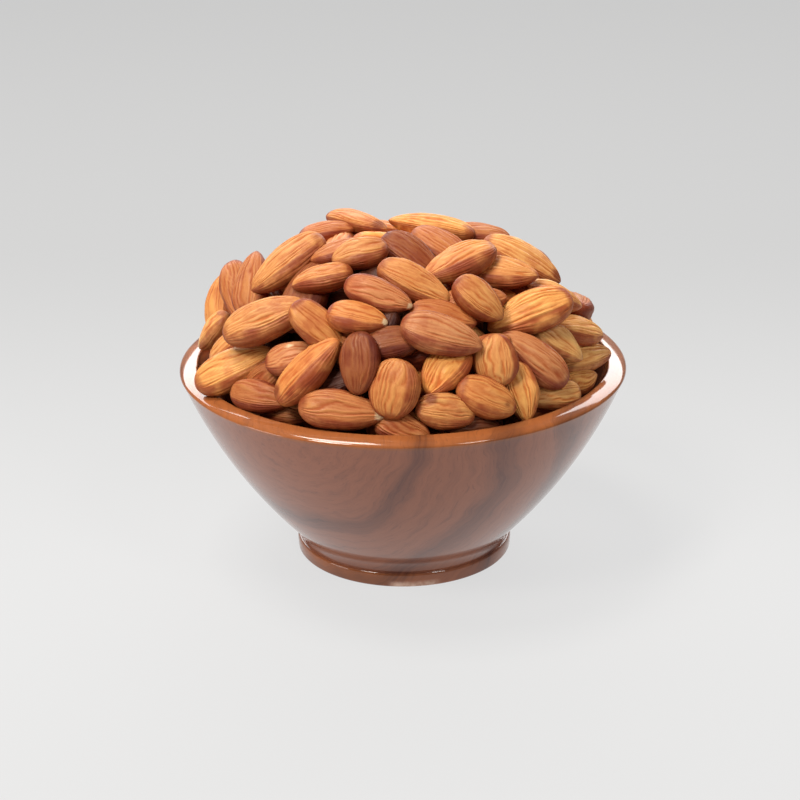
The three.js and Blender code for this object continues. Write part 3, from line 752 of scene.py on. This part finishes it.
def makeAlmondPiece(name, items, form, finish):
    made, tints, corners, starts = [], [], [], []
    count = len(form["along"])
    for seed, item in items:
        first = len(made) * count
        made.append(almondSurface(form, item, seed))
        tints.append(np.tile(np.append(skinColour(item, seed), 1.0), (count, 1)))
        corners.append(form["corners"] + first)
        starts.append(form["starts"] + len(starts) * len(form["corners"]))
    mesh = bpy.data.meshes.new(name)
    mesh.vertices.add(len(made) * count)
    mesh.vertices.foreach_set("co", np.concatenate([m["world"] for m in made]).ravel())
    mesh.loops.add(len(made) * len(form["corners"]))
    mesh.loops.foreach_set("vertex_index", np.concatenate(corners))
    mesh.polygons.add(len(made) * len(form["starts"]))
    mesh.polygons.foreach_set("loop_start", np.concatenate(starts))
    mesh.update(calc_edges=True)
    mesh.validate()
    for label in ("furrow", "flankAndShade", "scar", "bruiseAndShade"):
        mesh.attributes.new(label, "FLOAT", "POINT").data.foreach_set(
            "value", np.concatenate([m[label] for m in made]))
    mesh.attributes.new("skinPlace", "FLOAT_VECTOR", "POINT").data.foreach_set(
        "vector", np.concatenate([m["skinPlace"] for m in made]).ravel())
    mesh.attributes.new("tint", "FLOAT_COLOR", "POINT").data.foreach_set(
        "color", np.concatenate(tints).ravel())
    mesh.polygons.foreach_set("use_smooth", np.ones(len(mesh.polygons), dtype=bool))
    ob = bpy.data.objects.new(name, mesh)
    bpy.context.collection.objects.link(ob)
    ob.data.materials.append(finish)
    return ob


skinFinish = {
    "furrowShade": (0.74, 0.48, 0.34),   # what a furrow multiplies the skin's colour by
    "crest": (1.04, 1.14, 1.12),         # a ridge top
    "flankShade": (0.50, 0.29, 0.28),    # the thin edges, darker and redder, with painted shade on their lower side
    "bruiseAndShade": (0.42, 0.28, 0.30),        # and a dark spot: a bruise, and on some rows painted shade
    "redPatch": (0.78, 0.56, 0.50), "palePatch": (1.10, 1.18, 1.18),
    "scar": (0.72, 0.52, 0.30),
    "slow": 150.0, "fine": 1300.0,       # size of patches and specks, per metre
    "grain": (230, 1500, 1500),          # fine lines drawn out lengthwise
    "gloss": 0.24,
    "bump": 0.6, "bumpHeight": 0.00022,  # share of it, and metres
}
woodFinish = {
    "pith": (-0.033, 0.062),             # across and up: the growth rings are round about it
    "bands": ((0.031, 0.037, 0.038, 0.044), (0.056, 0.063, 0.064, 0.072), (0.078, 0.083, 0.084, 0.091)),
    "bandDepth": 0.60,
    "spacing": 0.0044, "ringDepth": 0.10,
    "sway": 0.018,                       # how far patches push the rings, metres
    "pale": (0.30, 0.100, 0.050),
    "dark": (0.110, 0.036, 0.025),
    "warm": (1.14, 1.02, 0.55),          # what lip and foot multiply the colour by; on the foot's left side it is painted light
    "lipFrom": 0.0608, "footTo": 0.0048,
    "footSide": (0.014, -0.008),         # across: painted light makes the foot warm from the one to the other
    # painted reflection: a pale patch on the foot's lower edge in front; its colour, where it lies across,
    # and how wide and high
    "paintedReflection": (0.62, 0.40, 0.30), "reflectionAt": 0.003,
    "reflectionWide": (0.0090, 0.0050), "reflectionHigh": (0.0026, 0.0010),
    "slow": 34.0, "fine": 240.0,
    # streaks and pores: how many a metre out from the pith, round it and through
    "streaks": (700, 160, 26), "streakDepth": 0.34,
    "pores": (2600, 400, 320), "poreDepth": 0.4,
    "varnish": 0.07,
}


def makeMottleGroup():
    # slow and fine patches, each as a mask round 0.5
    tree, n, took, gives = newGroup("patchyTone", [
        ("Place", "NodeSocketVector", None), ("Slow", "NodeSocketFloat", 200.0),
        ("Fine", "NodeSocketFloat", 900.0)],
        [("Patches", "NodeSocketFloat"), ("Specks", "NodeSocketFloat")])
    slow = n.noise(took.outputs["Place"], took.outputs["Slow"], 3, 0.55)
    fine = n.noise(took.outputs["Place"], took.outputs["Fine"], 3, 0.6)
    n.tree.links.new(slow, gives.inputs["Patches"])
    n.tree.links.new(fine, gives.inputs["Specks"])
    return tree


def makeSkinFinish(patchy):
    look, n, shader = newMaterial("almondSkin")
    place = n.attribute("skinPlace", "Vector")
    furrow, flankAndShade, scar, bruiseAndShade = (n.attribute(label, "Fac")
                                   for label in ("furrow", "flankAndShade", "scar", "bruiseAndShade"))
    patches, specks = n.patchy(patchy, place, skinFinish["slow"], skinFinish["fine"])
    grain = n.noise(n.stretch(place, skinFinish["grain"]), 1.0, 3, 0.6)
    tint = n.attribute("tint", "Color")
    top = n.maths("MULTIPLY", furrow, -2.0, True)
    colour = n.mixColour(top, tint, n.shade(tint, skinFinish["crest"]))
    share = n.maths("ADD", furrow, n.band(grain, 0.38, 0.68, 0.35, -0.05), True)
    colour = n.mixColour(share, colour, n.shade(tint, skinFinish["furrowShade"]))
    # the flank's darker, redder colour; on the lower side it is painted shade
    edge = n.maths("MULTIPLY", flankAndShade, n.band(patches, 0.30, 0.55, 0.45, 1.0))
    colour = n.mixColour(edge, colour, n.shade(colour, skinFinish["flankShade"]))
    for mask, low, full, most, shade in ((patches, 0.48, 0.70, 0.8, "redPatch"),
                                         (patches, 0.42, 0.27, 0.7, "palePatch"),
                                         (specks, 0.60, 0.75, 0.5, "redPatch")):
        share = n.band(mask, low, full, 0.0, most)
        colour = n.mixColour(share, colour, n.shade(colour, skinFinish[shade]))
    # dark spots: bruises, and on some rows painted shade
    colour = n.mixColour(bruiseAndShade, colour, n.shade(colour, skinFinish["bruiseAndShade"]))
    colour = n.mixColour(scar, colour, skinFinish["scar"] + (1,))
    n.tree.links.new(colour, shader.inputs["Base Color"])
    rough = n.maths("ADD", n.maths("MULTIPLY", furrow, 0.2), n.band(specks, 0.3, 0.7, 0.42, 0.58))
    n.tree.links.new(rough, shader.inputs["Roughness"])
    height = n.maths("ADD", n.maths("MULTIPLY", grain, 0.8), n.maths("MULTIPLY", specks, 0.5))
    bump = n.add("ShaderNodeBump", {"Strength": skinFinish["bump"], "Distance": skinFinish["bumpHeight"],
                                    "Height": height})
    n.tree.links.new(bump.outputs["Normal"], shader.inputs["Normal"])
    shader.inputs["Specular IOR Level"].default_value = skinFinish["gloss"]
    return look


def makeWoodFinish(patchy):
    look, n, shader = newMaterial("varnishedWood")
    place = n.add("ShaderNodeTexCoord").outputs["Object"]
    patches, specks = n.patchy(patchy, place, woodFinish["slow"], woodFinish["fine"])
    parts = n.add("ShaderNodeSeparateXYZ", {0: place})
    across = n.maths("SUBTRACT", parts.outputs[0], woodFinish["pith"][0])
    high = n.maths("SUBTRACT", parts.outputs[2], woodFinish["pith"][1])
    radius = n.maths("SQRT", n.maths("ADD", n.maths("MULTIPLY", across, across),
                                     n.maths("MULTIPLY", high, high)))
    sway = n.maths("MULTIPLY", n.maths("SUBTRACT", patches, 0.5), woodFinish["sway"])
    radius = n.maths("ADD", radius, sway)
    # broad dark growth bands, fine rings between them, and streaks that follow both
    dark = 0.0
    for low, full, still, end in woodFinish["bands"]:
        one = n.maths("MULTIPLY", n.band(radius, low, full), n.band(radius, end, still))
        dark = n.maths("ADD", dark, n.maths("MULTIPLY", one, woodFinish["bandDepth"]))
    ring = n.maths("SINE", n.maths("MULTIPLY", radius, 2 * math.pi / woodFinish["spacing"]))
    faint = n.maths("MULTIPLY", n.band(ring, -0.4, 1.0, 0.0, woodFinish["ringDepth"]),
                    n.band(specks, 0.3, 0.6))
    around = n.maths("ARCTAN2", high, across)
    grainPlace = n.add("ShaderNodeCombineXYZ", {0: radius, 1: n.maths("MULTIPLY", around, 0.02),
                                                2: parts.outputs[1]}).outputs[0]
    streak = n.noise(n.stretch(grainPlace, woodFinish["streaks"]), 1.0, 4, 0.65)
    streak = n.band(streak, 0.42, 0.75, 0.0, woodFinish["streakDepth"])
    dark = n.maths("ADD", dark, n.maths("ADD", faint, streak), True)
    colour = n.mixColour(dark, woodFinish["pale"] + (1,), woodFinish["dark"] + (1,))
    pores = n.noise(n.stretch(grainPlace, woodFinish["pores"]), 1.0, 2, 0.5)
    share = n.band(pores, 0.60, 0.72, 0.0, woodFinish["poreDepth"])
    colour = n.mixColour(share, colour, woodFinish["dark"] + (1,))
    lip, foot = woodFinish["lipFrom"], woodFinish["footTo"]
    # painted light makes the foot warm on its left, and a painted reflection lies pale on a short stretch of
    # its lower edge in front
    litFootSide = n.maths("MULTIPLY", n.band(parts.outputs[2], foot, foot - 0.0006),
                    n.band(parts.outputs[0], *woodFinish["footSide"], 0.25, 1.0))
    warm = n.maths("ADD", n.band(parts.outputs[2], lip, lip + 0.0008), litFootSide, True)
    colour = n.mixColour(warm, colour, n.shade(colour, woodFinish["warm"]))
    # painted reflection: a pale patch on the front of the foot's lower edge
    aside = n.maths("ABSOLUTE", n.maths("SUBTRACT", parts.outputs[0], woodFinish["reflectionAt"]))
    paintedReflection = n.maths("MULTIPLY", n.band(aside, *woodFinish["reflectionWide"]),
                   n.band(parts.outputs[2], *woodFinish["reflectionHigh"]))
    paintedReflection = n.maths("MULTIPLY", paintedReflection, n.band(parts.outputs[1], 0.0, -0.02))
    paintedReflection = n.maths("MULTIPLY", paintedReflection, n.band(specks, 0.35, 0.60, 0.35, 1.0))
    colour = n.mixColour(paintedReflection, colour, woodFinish["paintedReflection"] + (1,))
    n.tree.links.new(colour, shader.inputs["Base Color"])
    shader.inputs["Roughness"].default_value = 0.5
    shader.inputs["Specular IOR Level"].default_value = 0.1
    shader.inputs["Coat Weight"].default_value = 1.0
    shader.inputs["Coat Roughness"].default_value = woodFinish["varnish"]
    shader.inputs["Coat IOR"].default_value = 1.5
    bump = n.add("ShaderNodeBump", {"Strength": 0.15, "Distance": 0.0003, "Height": pores})
    n.tree.links.new(bump.outputs["Normal"], shader.inputs["Normal"])
    return look


# painted shade: the near-black colours of the mound seen in the gaps between almonds
coreShadeFinish = {"dark": (0.018, 0.005, 0.002), "light": (0.045, 0.013, 0.004), "spots": 300.0}


def makeCore():
    # what lies under the almonds that can be glimpsed: a smooth mound, near-black as painted shade
    deselectAll()
    bpy.ops.mesh.primitive_uv_sphere_add(segments=64, ring_count=40, radius=1, location=(0, 0, 0))
    ob = bpy.context.object
    ob.name = "shadedHeapCore"
    wide, tall = ((heap[side] - heap["darkCore"]) / 1000 for side in ("spread", "rise"))
    bpy.ops.object.mode_set(mode="EDIT")
    bpy.ops.mesh.select_all(action="SELECT")
    bpy.ops.transform.resize(value=(wide, wide, tall), center_override=(0, 0, 0))
    bpy.ops.transform.translate(value=(0, 0, heap["base"] / 1000))
    bpy.ops.mesh.bisect(plane_co=(0, 0, heap["darkCoreFrom"] / 1000), plane_no=(0, 0, 1),
                        use_fill=True, clear_inner=True)
    bpy.ops.object.mode_set(mode="OBJECT")
    look, n, shader = newMaterial("shadedAlmond")
    place = n.add("ShaderNodeTexCoord").outputs["Object"]
    spots = n.noise(place, coreShadeFinish["spots"], 3, 0.6)
    n.tree.links.new(n.mixColour(spots, coreShadeFinish["dark"] + (1,), coreShadeFinish["light"] + (1,)),
                     shader.inputs["Base Color"])
    shader.inputs["Roughness"].default_value = 0.9
    shader.inputs["Specular IOR Level"].default_value = 0.1
    ob.data.materials.append(look)
    bpy.ops.object.shade_smooth()
    return ob


makeCamera()
makeLights()
makeFloor()
print("camera, lights and floor are set")

patchy = makeMottleGroup()
wood = makeWoodFinish(patchy)
skin = makeSkinFinish(patchy)

bowlPiece = makeBowl()
bowlPiece.data.materials.append(wood)
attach(bowlPiece, "root")
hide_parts("bowl")
print("bowl turned:", len(bowlPiece.data.polygons), "faces")

laid = layHeap()
print("almonds laid:", len(laid), "seen", sum(1 for item in laid if item["seen"]))

forms = {label: makeAlmondForm(label + "Form", *almond[label]) for label in ("seen", "side", "deep")}
kindOf = {"pale": "goldAlmonds", "gold": "goldAlmonds", "amber": "tanAlmonds", "tan": "tanAlmonds",
          "rust": "tanAlmonds", "pink": "redAlmonds", "russet": "redAlmonds", "brown": "brownAlmonds",
          "umber": "brownAlmonds", "shade": "brownAlmonds"}
groups = {"goldAlmonds": [], "tanAlmonds": [], "redAlmonds": [], "brownAlmonds": [],
          "backAlmonds": [], "sideAlmonds": [], "deepAlmonds": []}
for number, item in enumerate(laid):
    if item["seen"]:
        groups[kindOf[item["skin"]]].append((number, item))
    elif item.get("deep"):
        groups["deepAlmonds"].append((number, item))
    else:
        groups["backAlmonds" if number % 2 else "sideAlmonds"].append((number, item))
formOf = {"backAlmonds": "side", "sideAlmonds": "side", "deepAlmonds": "deep"}
for name, items in groups.items():
    piece = makeAlmondPiece(name, items, forms[formOf.get(name, "seen")], skin)
    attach(piece, "root")
    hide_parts("almonds")
    print(name, len(items), "almonds,", sum(len(f.vertices) - 2 for f in piece.data.polygons), "triangles")

core = makeCore()
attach(core, "root")
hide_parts("almonds")
print("core made")
